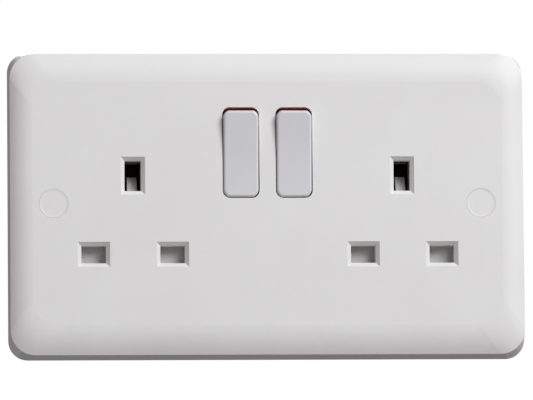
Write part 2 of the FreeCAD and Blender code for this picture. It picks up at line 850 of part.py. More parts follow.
def contact_cover():
    """The flat inner moulding that holds the metalwork in and carries the rocker bearings."""
    cover = rounded_slab(moulding_width, moulding_height, moulding_corner, cover_front_y, cover_back_y)
    cheek_front = inner_y + cheek_gap
    cheeks = []
    cuts = []
    for sign in sides.values():
        x = sign * rocker_x
        reach = rocker_half_w + trunnion_length + cheek_gap
        near = rocker_half_w + rocker_side_gap
        for edge in (-1, 1):
            cheeks.append(box(x + edge * near, x + edge * reach, cheek_front, cover_front_y + over,
                              rocker_z - cheek_half, rocker_z + cheek_half))
        cuts.append(rod_x(trunnion_r + bearing_gap, x - reach - over, x + reach + over, pivot_y, rocker_z))
        cuts.append(box(x - reach - over, x + reach + over, cheek_front - over, pivot_y,
                        rocker_z - trunnion_r - bearing_gap, rocker_z + trunnion_r + bearing_gap))
        cuts.append(rounded_slab(2 * stem_r + stem_window_w, 2 * stem_r + stem_window_h, stem_window_r,
                                 cover_front_y - over, cover_back_y + over, x, rocker_z))
        outlet = sign * outlet_x
        for offset in (-end_x, end_x):
            cuts.append(rounded_slab(line_throat_w + 2 * window_room, line_throat_h + 2 * window_room, window_r,
                                     cover_front_y - over, cover_back_y + over, outlet + offset, live_z))
        low = earth_z - earth_throat_h / 2 - shutter_travel - tongue_root - window_room
        high = earth_z + earth_throat_h / 2 + window_room
        cuts.append(rounded_slab(earth_throat_w + 2 * window_room, high - low, window_r, cover_front_y - over,
                                 cover_back_y + over, outlet, (low + high) / 2))
        for up in (-1, 1):
            cuts.append(rod_y(case_hole_r, sign * case_screw_x, up * case_screw_z,
                              cover_front_y - over, cover_back_y + over))
    return cover.fuse(cheeks).cut(cuts)


def chamber(x, z, half_x, half_z, front):
    outer = box(x - half_x - rib_wall, x + half_x + rib_wall, front, floor_y + over,
                z - half_z - rib_wall, z + half_z + rib_wall)
    return outer.cut(box(x - half_x, x + half_x, front - over, floor_y, z - half_z, z + half_z))


def pad(x0, x1, z0, z1, front):
    return box(x0, x1, front, floor_y + over, z0, z1)


def moulding_ribs():
    """Chambers round the clips, and pads and ribs that carry the metal strips."""
    live_back = live_plane_y + strip_thickness
    neutral_back = neutral_plane_y + strip_thickness
    bar_back = live_bar_y + strip_thickness
    earth_back = earth_plane_y + strip_thickness + leaf_thickness
    half_rib = rib_wall / 2
    ribs = []
    for side, sign in sides.items():
        outlet = sign * outlet_x
        for offset, back in ((-end_x, neutral_back), (end_x, live_back)):
            x = outlet + offset
            ribs.append(chamber(x, live_z, clip_width / 2 + fit_gap, clip_height / 2 + fit_gap, cover_back_y))
            ribs.append(pad(x - clip_rest, x + clip_rest, live_z - clip_rest, live_z + clip_rest, back))
        half_z = earth_pin_h / 2 + earth_chamber_room
        ribs.append(chamber(outlet, earth_z, earth_tab_w / 2 - rib_wall, half_z, earth_back))
        column = sign * live_run_x
        low = live_z if side == "left" else live_run_z
        ribs.append(pad(column - half_rib, column + half_rib, low, run_top_z, live_back))
        ribs.append(pad(sign * live_strip_start, column, run_top_z - half_rib, run_top_z + half_rib, live_back))
        ribs.append(pad(sign * earth_rib_start, outlet, earth_terminal_z - half_rib,
                        earth_terminal_z + half_rib, earth_back - leaf_thickness))
        x = sign * rocker_x
        ribs.append(pad(x - stop_half, x + stop_half, rocker_z - stop_low, rocker_z - stop_high,
                        fulcrum_y - fulcrum_front + contact_thickness + stop_gap))
    ribs.append(pad(-rocker_x, rocker_x, rocker_z - half_rib, rocker_z + half_rib, bar_back))
    ribs.append(pad(-half_rib, half_rib, line_terminal_z, rocker_z, bar_back))
    ribs.append(pad(-outlet_x, outlet_x - end_x, neutral_bar_z - half_rib, neutral_bar_z + half_rib, neutral_back))
    ribs.append(pad(live_run_x, outlet_x + end_x, live_run_z - half_rib, live_run_z + half_rib, live_back))
    for name, (x, z, rear) in terminal_data().items():
        seat = rear if name.startswith("earth") else rear + strip_thickness
        ribs.append(pad(x - terminal_block_w / 2, x + terminal_block_w / 2,
                        z - terminal_block_h / 2, z + terminal_block_h / 2, seat))
    return ribs


def metal_channels():
    """Room for every strip and block, open to the front, with their seats as its floor."""
    front = cover_back_y - over
    channels = []

    def clear(rects, back, gap=fit_gap):
        for x0, x1, z0, z1 in rects:
            channels.append(box(x0 - gap, x1 + gap, front, back, z0 - gap, z1 + gap))

    for side in sides:
        clear(live_strip_rects(side), live_plane_y + strip_thickness)
    clear(live_bar_rects(), live_bar_y + strip_thickness)
    clear(neutral_rects(), neutral_plane_y + strip_thickness)
    clear(earth_rects(), earth_plane_y + strip_thickness)
    for x, z, rear in terminal_data().values():
        clear([pad_rect(x, z, terminal_block_w, terminal_block_h)], rear, terminal_gap)
    return channels


def terminal_pocket(name):
    """The notch that leaves a terminal open to the screwdriver and, at the edge, to the wires."""
    x, z, rear = terminal_data()[name]
    seat = rear if name.startswith("earth") else rear + strip_thickness
    up = 1 if z > 0 else -1
    inner = z - up * (terminal_block_h / 2 - terminal_lip)
    outer = up * (moulding_height / 2 + over)
    half = terminal_block_w / 2 - terminal_lip
    behind = box(x - half, x + half, seat, rear_y + over, inner, outer)
    edge = up * (moulding_height / 2 - moulding_wall - over)
    beside = box(x - half, x + half, rear - terminal_depth, rear_y + over, edge, outer)
    return behind.fuse(beside)


def wire_fins():
    """Barriers on the outside of the case that keep the wires of the terminals apart."""
    fins = []
    for x, up in ((0, -1), (0, 1)):
        edge = up * (moulding_height / 2 - over)
        fins.append(box(x - rib_wall / 2, x + rib_wall / 2, fin_front_y, rear_y, edge, edge + up * fin_reach))
    return fins


def back_moulding():
    """The case behind the plate: an open tray with chambers, ribs and screw bosses."""
    tray = rounded_slab(moulding_width, moulding_height, moulding_corner, cover_back_y, rear_y)
    back_rim = [edge for edge in tray.Edges if edge.BoundBox.YMin > floor_y]
    tray = tray.makeChamfer(rear_chamfer, back_rim)
    inner = rounded_slab(moulding_width - 2 * moulding_wall, moulding_height - 2 * moulding_wall,
                         moulding_corner - moulding_wall, cover_back_y - over, floor_y)
    ribs = join(moulding_ribs()).cut(metal_channels())
    bosses = []
    cuts = []
    for sign in (-1, 1):
        for up in (-1, 1):
            x = sign * case_screw_x
            z = up * case_screw_z
            bosses.append(rod_y(case_boss_r, x, z, cover_back_y, floor_y + over))
            cuts.append(rod_y(case_hole_r, x, z, cover_back_y - over, case_seat_y + over))
            cuts.append(rod_y(case_head_r + case_head_room, x, z, case_seat_y, rear_y + over))
    cuts += [terminal_pocket(name) for name in terminal_data()]
    for x, z, front, back in line_rivets() + earth_rivets():
        cuts.append(rod_y(rivet_head_r + fit_gap, x, z, back - over, back + rivet_head_h + fit_gap))
    ribs = ribs.common(rounded_slab(moulding_width - moulding_wall, moulding_height - moulding_wall,
                                    moulding_corner, cover_back_y - over, rear_y))
    return tray.cut(inner).fuse([ribs] + bosses + wire_fins()).cut(cuts).removeSplitter()


def build_all():
    os.makedirs("parts", exist_ok=True)
    save("front_plate", front_plate())
    save("contact_cover", contact_cover())
    save("back_moulding", back_moulding())
    save("case_screws", case_screws())
    save("contact_rivets", rivets())
    save("live_bar", live_bar())
    save("neutral_bar", neutral_bar())
    save("earth_bar", earth_bar())
    for side, sign in sides.items():
        x = sign * rocker_x
        save("screw_cap_" + side, screw_cap(sign))
        save("rocker_" + side, rocker(x))
        save("on_flag_" + side, on_flag(x))
        save("plunger_" + side, plunger(x))
        save("rocker_spring_" + side, rocker_spring(x))
        save("moving_contact_" + side, moving_contact(x))
        save("moving_tip_" + side, moving_tip(x))
        save("fixed_tip_" + side, fixed_tip(x))
        save("shutter_" + side, shutter(sign))
        save("shutter_spring_" + side, shutter_spring(sign))
        save("live_strip_" + side, live_strip(side))
        save("live_clip_" + side, line_clip(sign * outlet_x + end_x, live_base_y))
        save("neutral_clip_" + side, line_clip(sign * outlet_x - end_x, neutral_plane_y - leaf_thickness))
        save("earth_clip_" + side, earth_clip(sign))
    for name, place in terminal_data().items():
        save("terminal_" + name, terminal(*place))
        save("terminal_screw_" + name, terminal_screw(*place))


build_all()
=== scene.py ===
# %% [markdown]
# This is a twin switched socket outlet, dressed for a plain catalogue picture.
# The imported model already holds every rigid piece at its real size, in metres, with the
# wall plane at Y = 0 and the front facing -Y. The lesson adds a camera, soft light, a finish
# for every piece, and the small turned and coiled parts that look better modelled by hand.

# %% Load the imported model
import bpy
import json
import math
from mathutils import Matrix, Vector


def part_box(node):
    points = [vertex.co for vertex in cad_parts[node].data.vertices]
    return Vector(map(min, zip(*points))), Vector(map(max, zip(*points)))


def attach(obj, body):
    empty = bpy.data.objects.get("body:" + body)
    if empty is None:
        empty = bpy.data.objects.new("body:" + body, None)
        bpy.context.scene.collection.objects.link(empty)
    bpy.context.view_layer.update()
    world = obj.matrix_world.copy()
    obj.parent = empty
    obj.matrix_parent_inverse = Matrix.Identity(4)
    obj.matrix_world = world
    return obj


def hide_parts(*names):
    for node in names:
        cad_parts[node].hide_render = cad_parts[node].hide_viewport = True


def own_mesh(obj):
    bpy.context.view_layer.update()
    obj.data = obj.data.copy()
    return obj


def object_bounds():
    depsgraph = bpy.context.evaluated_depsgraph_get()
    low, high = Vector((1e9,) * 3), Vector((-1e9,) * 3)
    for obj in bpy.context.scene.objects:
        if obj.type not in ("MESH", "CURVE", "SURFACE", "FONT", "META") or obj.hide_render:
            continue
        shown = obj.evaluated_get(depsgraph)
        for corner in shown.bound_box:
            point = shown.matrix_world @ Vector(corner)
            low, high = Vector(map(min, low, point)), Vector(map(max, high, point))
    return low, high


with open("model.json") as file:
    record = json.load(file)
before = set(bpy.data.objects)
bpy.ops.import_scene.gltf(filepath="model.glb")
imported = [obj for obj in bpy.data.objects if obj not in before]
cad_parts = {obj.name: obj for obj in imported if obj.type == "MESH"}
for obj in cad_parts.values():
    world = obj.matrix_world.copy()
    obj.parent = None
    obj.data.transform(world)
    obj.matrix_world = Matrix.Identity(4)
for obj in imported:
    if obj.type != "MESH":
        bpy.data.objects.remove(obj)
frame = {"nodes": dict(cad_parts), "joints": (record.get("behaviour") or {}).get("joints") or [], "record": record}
cad_box = [list(corner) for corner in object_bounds()]
nodes = frame["nodes"]
joints = {joint["name"]: joint for joint in frame["joints"]}
print("loaded", len(nodes), "pieces and", len(joints), "joints, box", cad_box)

# %% [markdown]
# The picture was taken with a long lens, a little from the left and a little from below,
# because the lower side wall of the plate can be seen and the upper one can't. A long lens far
# away keeps the two outlets the same size. The camera is set by its direction, its distance and
# a very small roll, so that no shift or guesswork is needed.

# %% Camera
photo_width = 533
focal_in_pixels = 7070
sensor_width = 36.0
view_azimuth = math.radians(-4.0)
view_elevation = math.radians(-6.0)
view_roll = math.radians(-0.51)
view_distance = 2.0
look_at = Vector((0.00027, 0.0, 0.00187))

flat = math.cos(view_elevation)
back = Vector((math.sin(view_azimuth) * flat, -math.cos(view_azimuth) * flat,
               math.sin(view_elevation)))
level_right = Vector((math.cos(view_azimuth), math.sin(view_azimuth), 0.0))
level_up = back.cross(level_right)
right = level_right * math.cos(view_roll) + level_up * math.sin(view_roll)
up = level_up * math.cos(view_roll) - level_right * math.sin(view_roll)

bpy.ops.object.camera_add()
camera = bpy.context.object
camera.name = "catalogue_camera"
camera.data.sensor_width = sensor_width
camera.data.lens = focal_in_pixels / photo_width * sensor_width
camera.data.clip_start = 0.01
camera.data.clip_end = 100
turn = Matrix((right, up, back)).transposed().to_4x4()
camera.matrix_world = Matrix.Translation(look_at + back * view_distance) @ turn
bpy.context.scene.camera = camera
print("lens", round(camera.data.lens, 1), "mm, camera at", [round(v, 3) for v in camera.location])

# %% [markdown]
# The light of the studio and every finish are built from shader nodes. Three small helpers
# keep that short: one adds a node with its settings, one stretches a value between two limits,
# and one adds two values with a share for each.

# %% Small helpers for nodes
def add_node(tree, kind, **settings):
    """A new node, with its properties or its input values set by name."""
    node = tree.nodes.new(kind)
    for name, value in settings.items():
        label = name.replace("_", " ").title()
        if hasattr(node, name):
            setattr(node, name, value)
        else:
            node.inputs[label].default_value = value
    return node


def ramp_between(tree, source, low, high, least=0.0, most=1.0):
    """Stretches a value so that low..high becomes least..most, and clamps it."""
    node = add_node(tree, "ShaderNodeMapRange", from_min=low, from_max=high,
                    to_min=least, to_max=most)
    tree.links.new(source, node.inputs["Value"])
    return node.outputs["Result"]


def sum_of(tree, first, share, second, other_share):
    """first * share + second * other_share."""
    part = add_node(tree, "ShaderNodeMath", operation="MULTIPLY")
    tree.links.new(second, part.inputs[0])
    part.inputs[1].default_value = other_share
    both = add_node(tree, "ShaderNodeMath", operation="MULTIPLY_ADD")
    tree.links.new(first, both.inputs[0])
    both.inputs[1].default_value = share
    tree.links.new(part.outputs[0], both.inputs[2])
    return both.outputs[0]


print("node helpers", [helper.__name__ for helper in (add_node, ramp_between, sum_of)])

# %% [markdown]
# A catalogue object floats on pure white. The world is white to the camera, but only
# a quarter as bright to the object, which leaves room for a lamp to model its edges. It is a
# little brighter behind the plate, where the white backdrop lights the side walls, and from
# below, as a white table throws light up on the lower edge. The floor lies well below the
# plate, because this camera looks up from under it.

# %% Backdrop and floor
scene = bpy.context.scene
scene.view_settings.view_transform = "Standard"
ambient_front = 0.234
ambient_back = 0.27
ambient_below = 0.08
ambient_tint = (1.0, 0.94, 0.945, 1.0)
floor_drop = 0.45
floor_size = 16.0
floor_glow = 0.45

world = bpy.data.worlds.new("white_studio")
scene.world = world
world.use_nodes = True
tree = world.node_tree
tree.nodes.clear()
seen = add_node(tree, "ShaderNodeBackground")
seen.inputs["Color"].default_value = (1.0, 1.0, 1.0, 1.0)
lit = add_node(tree, "ShaderNodeBackground")
lit.inputs["Color"].default_value = ambient_tint
facing = add_node(tree, "ShaderNodeTexCoord")
split = add_node(tree, "ShaderNodeSeparateXYZ")
tree.links.new(facing.outputs["Generated"], split.inputs[0])
along_y = ramp_between(tree, split.outputs["Y"], -1.0, 1.0, ambient_front, ambient_back)
from_below = ramp_between(tree, split.outputs["Z"], -1.0, 0.0, ambient_below, 0.0)
tree.links.new(sum_of(tree, along_y, 1.0, from_below, 1.0), lit.inputs["Strength"])
path = add_node(tree, "ShaderNodeLightPath")
either = add_node(tree, "ShaderNodeMixShader")
result = add_node(tree, "ShaderNodeOutputWorld")
tree.links.new(path.outputs["Is Camera Ray"], either.inputs[0])
tree.links.new(lit.outputs[0], either.inputs[1])
tree.links.new(seen.outputs[0], either.inputs[2])
tree.links.new(either.outputs[0], result.inputs["Surface"])
print("backdrop", ambient_front, "in front,", ambient_back, "behind,", ambient_below, "below")

bpy.ops.mesh.primitive_plane_add(size=floor_size, location=(0, 0, cad_box[0][2] - floor_drop))
floor = bpy.context.object
floor.name = "studio_floor"
floor_paint = bpy.data.materials.new("studio_floor_paint")
floor_paint.use_nodes = True
floor_shader = floor_paint.node_tree.nodes["Principled BSDF"]
floor_shader.inputs["Base Color"].default_value = (0.9, 0.9, 0.9, 1.0)
floor_shader.inputs["Roughness"].default_value = 0.9
floor_shader.inputs["Emission Color"].default_value = (1.0, 1.0, 1.0, 1.0)
floor_shader.inputs["Emission Strength"].default_value = floor_glow
floor.data.materials.append(floor_paint)
floor.visible_diffuse = False
floor.visible_glossy = False
print("floor at", round(floor.location.z, 3))

# %% [markdown]
# In the picture the top and right edges are brightest and the bottom and left edges are
# darker, so one large softbox hangs above and to the right of the camera. It is big and near
# enough for soft shadows under the rockers. The even glow of the backdrop fills the rest. A
# smaller softbox stands high behind the wall plane. It only lights the back of the part, which
# the picture doesn't show, so that the moulding can be seen when the part is turned round.

# %% Lamps
def softbox(name, place, aim, size, power, colour=(1.0, 1.0, 1.0)):
    """A square area lamp at a place, turned towards a point."""
    bpy.ops.object.light_add(type="AREA", location=place)
    lamp = bpy.context.object
    lamp.name = name
    lamp.data.size = size
    lamp.data.energy = power
    lamp.data.color = colour
    lamp.rotation_euler = (Vector(place) - Vector(aim)).to_track_quat("Z", "Y").to_euler()
    return lamp


key_direction = Vector((0.48, -0.71, 0.515)).normalized()
key_distance = 2.0
key_size = 1.1
key_power = 39.8
key_tint = (0.978, 0.993, 1.0)
softbox("main_softbox", key_direction * key_distance, (0, 0, 0), key_size, key_power, key_tint)
rear_place = Vector((0.15, 2.0, 1.0))
rear_size = 0.7
rear_power = 30.0
softbox("rear_softbox", rear_place, (0, 0, 0), rear_size, rear_power)

# %% [markdown]
# A few effects come up in many finishes: the fine grain of a moulded skin, the smudges that
# handling leaves, and the streaks of rolled metal. Each is a node group, built once, with its
# sizes as named inputs. The groups put out only masks and heights that vary over the surface.

# %% Shader groups
def open_group(name, inputs, outputs):
    """An empty shader group with float inputs, one vector input and float outputs."""
    group = bpy.data.node_groups.new(name, "ShaderNodeTree")
    group.interface.new_socket("Vector", in_out="INPUT", socket_type="NodeSocketVector")
    for label, value in inputs.items():
        socket = group.interface.new_socket(label, in_out="INPUT", socket_type="NodeSocketFloat")
        socket.default_value = value
    for label in outputs:
        group.interface.new_socket(label, in_out="OUTPUT", socket_type="NodeSocketFloat")
    return group, group.nodes.new("NodeGroupInput"), group.nodes.new("NodeGroupOutput")


print("group helper", open_group.__name__)

# %% [markdown]
# A moulded skin copies the polish of its steel tool: a very fine grain, a slow swirl
# where the material flowed, and a rare darker fleck of filler. Noise gives the first two, and the
# middle of sparse cells gives the third.

# %% Group: moulded skin
skin, entry, leave = open_group("moulded_skin", {"Grain": 2500.0, "Flow": 60.0},
                                ("Height", "Cloud", "Fleck"))
fine = add_node(skin, "ShaderNodeTexNoise", detail=3.0, roughness=0.6)
skin.links.new(entry.outputs["Vector"], fine.inputs["Vector"])
skin.links.new(entry.outputs["Grain"], fine.inputs["Scale"])
slow = add_node(skin, "ShaderNodeTexNoise", detail=2.0, distortion=0.6)
skin.links.new(entry.outputs["Vector"], slow.inputs["Vector"])
skin.links.new(entry.outputs["Flow"], slow.inputs["Scale"])
cells = add_node(skin, "ShaderNodeTexVoronoi")
skin.links.new(entry.outputs["Vector"], cells.inputs["Vector"])
skin.links.new(entry.outputs["Grain"], cells.inputs["Scale"])
height = sum_of(skin, fine.outputs["Fac"], 0.7, slow.outputs["Fac"], 0.3)
skin.links.new(height, leave.inputs["Height"])
skin.links.new(ramp_between(skin, slow.outputs["Fac"], 0.3, 0.7), leave.inputs["Cloud"])
fleck = ramp_between(skin, cells.outputs["Distance"], 0.05, 0.1, 1.0, 0.0)
skin.links.new(fleck, leave.inputs["Fleck"])
print("group", skin.name, [i.name for i in skin.interface.items_tree])

# %% [markdown]
# Handling leaves two things on a gloss surface: soft smudges that dull it and a few
# hairlines. The hairlines are noise stretched a hundred times along one direction, cut off near
# its peaks so that only thin lines are left.

# %% Group: handling marks
hairline_slant = (0.0, 0.5, 0.0)
hairline_stretch = (1.0, 30.0, 100.0)

handling, entry, leave = open_group("handling_marks", {"Smudges": 90.0, "Hairlines": 40.0},
                                    ("Smudge", "Hairline"))
smudge = add_node(handling, "ShaderNodeTexNoise", detail=4.0, roughness=0.65)
handling.links.new(entry.outputs["Vector"], smudge.inputs["Vector"])
handling.links.new(entry.outputs["Smudges"], smudge.inputs["Scale"])
stretch = add_node(handling, "ShaderNodeMapping")
stretch.inputs["Rotation"].default_value = hairline_slant
stretch.inputs["Scale"].default_value = hairline_stretch
handling.links.new(entry.outputs["Vector"], stretch.inputs["Vector"])
hair = add_node(handling, "ShaderNodeTexNoise", detail=2.0)
handling.links.new(stretch.outputs[0], hair.inputs["Vector"])
handling.links.new(entry.outputs["Hairlines"], hair.inputs["Scale"])
smear = ramp_between(handling, smudge.outputs["Fac"], 0.45, 0.7)
handling.links.new(smear, leave.inputs["Smudge"])
line = ramp_between(handling, hair.outputs["Fac"], 0.68, 0.74)
handling.links.new(line, leave.inputs["Hairline"])
print("group", handling.name)

# %% [markdown]
# Strip metal is rolled, so its polish runs in streaks along the strip, and it tarnishes
# in soft patches. The noise is stretched along X, the way most of the strips were rolled. The
# same group serves drawn wire and turned screws, with finer streaks.

# %% Group: worked metal
roll_stretch = (0.04, 1.0, 1.0)

metal, entry, leave = open_group("worked_metal", {"Streaks": 300.0, "Patches": 150.0},
                                 ("Streak", "Tarnish", "Height"))
pull = add_node(metal, "ShaderNodeMapping")
pull.inputs["Scale"].default_value = roll_stretch
metal.links.new(entry.outputs["Vector"], pull.inputs["Vector"])
streak = add_node(metal, "ShaderNodeTexNoise", detail=4.0, roughness=0.7)
metal.links.new(pull.outputs[0], streak.inputs["Vector"])
metal.links.new(entry.outputs["Streaks"], streak.inputs["Scale"])
patch = add_node(metal, "ShaderNodeTexNoise", detail=3.0, distortion=0.8)
metal.links.new(entry.outputs["Vector"], patch.inputs["Vector"])
metal.links.new(entry.outputs["Patches"], patch.inputs["Scale"])
metal.links.new(ramp_between(metal, streak.outputs["Fac"], 0.3, 0.7), leave.inputs["Streak"])
metal.links.new(ramp_between(metal, patch.outputs["Fac"], 0.45, 0.75), leave.inputs["Tarnish"])
metal.links.new(streak.outputs["Fac"], leave.inputs["Height"])
print("group", metal.name)

# %% [markdown]
# Every finish starts the same way, so the start is a function. A finish then takes the
# masks that it needs from the groups, mixes its colours by them, lets them drive the roughness,
# and raises the surface by the heights of the group.

# %% Finish builder
coat = {}


def begin_finish(slot):
    """A new node material for a slot: its tree, its Principled shader and object coordinates."""
    material = bpy.data.materials.new("finish_" + slot)
    material.use_nodes = True
    coat[slot] = material
    tree = material.node_tree
    shader = tree.nodes["Principled BSDF"]
    place = add_node(tree, "ShaderNodeTexCoord").outputs["Object"]
    return tree, shader, place


def use_group(tree, group, place, **sizes):
    """An instance of a shared group, fed with coordinates and its named sizes."""
    node = tree.nodes.new("ShaderNodeGroup")
    node.node_tree = group
    tree.links.new(place, node.inputs["Vector"])
    for name, value in sizes.items():
        node.inputs[name].default_value = value
    return node.outputs


def mix_colours(tree, mask, first, second):
    """A colour that runs from first to second as the mask goes from 0 to 1."""
    node = add_node(tree, "ShaderNodeMix", data_type="RGBA")
    tree.links.new(mask, node.inputs["Factor"])
    for label, colour in (("A", first), ("B", second)):
        socket = [s for s in node.inputs if s.name == label and s.type == "RGBA"][0]
        if isinstance(colour, tuple):
            socket.default_value = (*colour, 1.0)
        else:
            tree.links.new(colour, socket)
    return [s for s in node.outputs if s.type == "RGBA"][0]


def raise_surface(tree, shader, height, strength, depth):
    """Feeds a height through a Bump node into the shader's normal."""
    bump = add_node(tree, "ShaderNodeBump")
    bump.inputs["Strength"].default_value = strength
    bump.inputs["Distance"].default_value = depth
    tree.links.new(height, bump.inputs["Height"])
    tree.links.new(bump.outputs["Normal"], shader.inputs["Normal"])


# %% [markdown]
# The front plate is white urea, a hard thermoset: opaque, a touch warm, and with the soft
# sheen of a fine blasted tool, because no sharp mirror image shows on the rounded corners. A
# clear Coat layer would look wet, so the sheen is the shader's own. Smudges dull it a little.

# %% Finish: white plate
tree, shader, place = begin_finish("plate_white")
marks = use_group(tree, skin, place, Grain=1800.0, Flow=45.0)
hands = use_group(tree, handling, place, Smudges=60.0, Hairlines=30.0)
tone = mix_colours(tree, marks["Cloud"], (0.752, 0.742, 0.74), (0.775, 0.768, 0.768))
specks = sum_of(tree, marks["Fleck"], 0.12, hands["Hairline"], 0.05)
flecked = mix_colours(tree, specks, tone, (0.5, 0.49, 0.47))
tree.links.new(flecked, shader.inputs["Base Color"])
matt = sum_of(tree, hands["Smudge"], 0.6, marks["Cloud"], 0.4)
tree.links.new(ramp_between(tree, matt, 0.0, 1.0, 0.5, 0.62), shader.inputs["Roughness"])
shader.inputs["IOR"].default_value = 1.53
shader.inputs["Subsurface Weight"].default_value = 0.08
shader.inputs["Subsurface Radius"].default_value = (0.0012, 0.001, 0.0009)
raise_surface(tree, shader, marks["Height"], 0.12, 0.00004)
print("finish", list(coat))

# %% [markdown]
# The rockers are thermoplastic from another tool, so beside the plate they read slightly
# cooler and silkier. Fingers keep a rocker polished; here that is a smudge pattern that works
# the other way round and makes it shinier.

# %% Finish: rocker white
tree, shader, place = begin_finish("rocker_white")
marks = use_group(tree, skin, place, Grain=2600.0, Flow=80.0)
hands = use_group(tree, handling, place, Smudges=140.0, Hairlines=60.0)
tone = mix_colours(tree, marks["Cloud"], (0.66, 0.655, 0.668), (0.69, 0.685, 0.695))
specks = sum_of(tree, marks["Fleck"], 0.08, hands["Hairline"], 0.08)
worn = mix_colours(tree, specks, tone, (0.45, 0.45, 0.45))
tree.links.new(worn, shader.inputs["Base Color"])
rubbed = ramp_between(tree, hands["Smudge"], 0.0, 1.0, 0.4, 0.3)
tree.links.new(rubbed, shader.inputs["Roughness"])
shader.inputs["IOR"].default_value = 1.5
shader.inputs["Subsurface Weight"].default_value = 0.05
shader.inputs["Subsurface Radius"].default_value = (0.001, 0.0009, 0.0009)
raise_surface(tree, shader, marks["Height"], 0.1, 0.00004)
print("finish", list(coat))

# %% [markdown]
# The shutters are nylon, left natural: more see-through than the plate, a little grey, and dull where the pins
# have rubbed them. Their colour is also set darker than the nylon itself, as painted shade for the deep holes they
# sit in. Scuffs are hairlines at a larger size.

# %% Finish: shutter white
tree, shader, place = begin_finish("shutter_white")
marks = use_group(tree, skin, place, Grain=3200.0, Flow=200.0)
hands = use_group(tree, handling, place, Smudges=400.0, Hairlines=160.0)
# These two tones are darker than natural nylon: partly its own grey, partly painted shade for the deep pin holes.
tone = mix_colours(tree, marks["Cloud"], (0.555, 0.538, 0.535), (0.61, 0.594, 0.59))
scuffs = sum_of(tree, hands["Hairline"], 0.35, hands["Smudge"], 0.12)
scuffed = mix_colours(tree, scuffs, tone, (0.3, 0.28, 0.27))
tree.links.new(scuffed, shader.inputs["Base Color"])
dulled = ramp_between(tree, hands["Smudge"], 0.0, 1.0, 0.42, 0.62)
tree.links.new(dulled, shader.inputs["Roughness"])
shader.inputs["Subsurface Weight"].default_value = 0.25
shader.inputs["Subsurface Radius"].default_value = (0.0015, 0.0012, 0.001)
scratched = sum_of(tree, marks["Height"], 1.0, hands["Hairline"], -0.6)
raise_surface(tree, shader, scratched, 0.2, 0.00005)
print("finish", list(coat))

# %% [markdown]
# The flag that shows a switch is on is a white insert with red foil on its end. Its front
# edge, level with the rocker's face, stays white, so the red begins just behind it, measured
# across the face of the tilted rocker. A rocker rests tilted by half of its turn. Dust collects
# where nobody can wipe, and dulls the red.

# %% Finish: red flag
tree, shader, place = begin_finish("flag_red")
marks = use_group(tree, skin, place, Grain=2800.0, Flow=260.0)
hands = use_group(tree, handling, place, Smudges=500.0)
tone = mix_colours(tree, marks["Cloud"], (0.5, 0.012, 0.014), (0.62, 0.02, 0.02))
dust = ramp_between(tree, hands["Smudge"], 0.2, 1.0, 0.0, 0.25)
dusty = mix_colours(tree, dust, tone, (0.55, 0.3, 0.28))
rocker_tilt = math.radians(joints["rocker_left_turn"]["range_deg"][1] / 2)
foil_start = -0.0086
foil_blend = 0.0003
along = add_node(tree, "ShaderNodeVectorMath", operation="DOT_PRODUCT")
tree.links.new(place, along.inputs[0])
along.inputs[1].default_value = (0.0, math.cos(rocker_tilt), math.sin(rocker_tilt))
foil = ramp_between(tree, along.outputs["Value"], foil_start, foil_start + foil_blend)
tree.links.new(mix_colours(tree, foil, (0.67, 0.66, 0.665), dusty), shader.inputs["Base Color"])
tree.links.new(ramp_between(tree, hands["Smudge"], 0.0, 1.0, 0.2, 0.5), shader.inputs["Roughness"])
raise_surface(tree, shader, marks["Height"], 0.15, 0.00004)
print("finish", list(coat))

# %% [markdown]
# The rear moulding is a black filled thermoset. Its filler shows as brown-grey flecks,
# its flow as cloudy patches, and its skin is between gloss and satin. Base colours below five
# percent would swallow the ribs, so the black is lifted a little.

# %% Finish: black moulding
tree, shader, place = begin_finish("moulding_black")
marks = use_group(tree, skin, place, Grain=1400.0, Flow=70.0)
hands = use_group(tree, handling, place, Smudges=80.0, Hairlines=50.0)
tone = mix_colours(tree, marks["Cloud"], (0.036, 0.03, 0.026), (0.052, 0.043, 0.037))
specks = sum_of(tree, marks["Fleck"], 0.5, hands["Hairline"], 0.25)
flecked = mix_colours(tree, specks, tone, (0.13, 0.11, 0.09))
tree.links.new(flecked, shader.inputs["Base Color"])
matt = sum_of(tree, hands["Smudge"], 0.6, marks["Cloud"], 0.4)
tree.links.new(ramp_between(tree, matt, 0.0, 1.0, 0.32, 0.52), shader.inputs["Roughness"])
raise_surface(tree, shader, marks["Height"], 0.25, 0.00006)
print("finish", list(coat))

# %% [markdown]
# Bars, terminals and clips are brass. Terminals and earth parts are bare rolled brass,
# yellow where fresh and browner where it has tarnished. Roughness follows the tarnish, and the
# roll's streaks give a height of a few micrometres.

# %% Finishes: brass and silver
smudges_per_patch = 1.7
streaks_per_hairline = 5
scratch_shade = 0.5


def metal_finish(slot, fresh, dull, streaks, patches, smooth, rough, depth):
    """A worked metal: its colour and roughness follow the tarnish, its bump the streaks."""
    tree, shader, place = begin_finish(slot)
    worked = use_group(tree, metal, place, Streaks=streaks, Patches=patches)
    hands = use_group(tree, handling, place, Smudges=patches * smudges_per_patch,
                      Hairlines=streaks / streaks_per_hairline)
    tone = mix_colours(tree, worked["Tarnish"], fresh, dull)
    scores = ramp_between(tree, hands["Hairline"], 0.0, 1.0, 0.0, 0.4)
    scored = mix_colours(tree, scores, tone, tuple(part * scratch_shade for part in dull))
    tree.links.new(scored, shader.inputs["Base Color"])
    matt = sum_of(tree, worked["Tarnish"], 0.6, worked["Streak"], 0.4)
    tree.links.new(ramp_between(tree, matt, 0.0, 1.0, smooth, rough), shader.inputs["Roughness"])
    shader.inputs["Metallic"].default_value = 1.0
    raise_surface(tree, shader, worked["Height"], 0.3, depth)


metal_finish("contact_brass", (0.83, 0.62, 0.28), (0.52, 0.34, 0.13),
             900.0, 180.0, 0.18, 0.42, 0.00003)
metal_finish("contact_silver", (0.86, 0.85, 0.83), (0.6, 0.57, 0.5),
             1200.0, 600.0, 0.15, 0.35, 0.00002)
print("finish", list(coat))

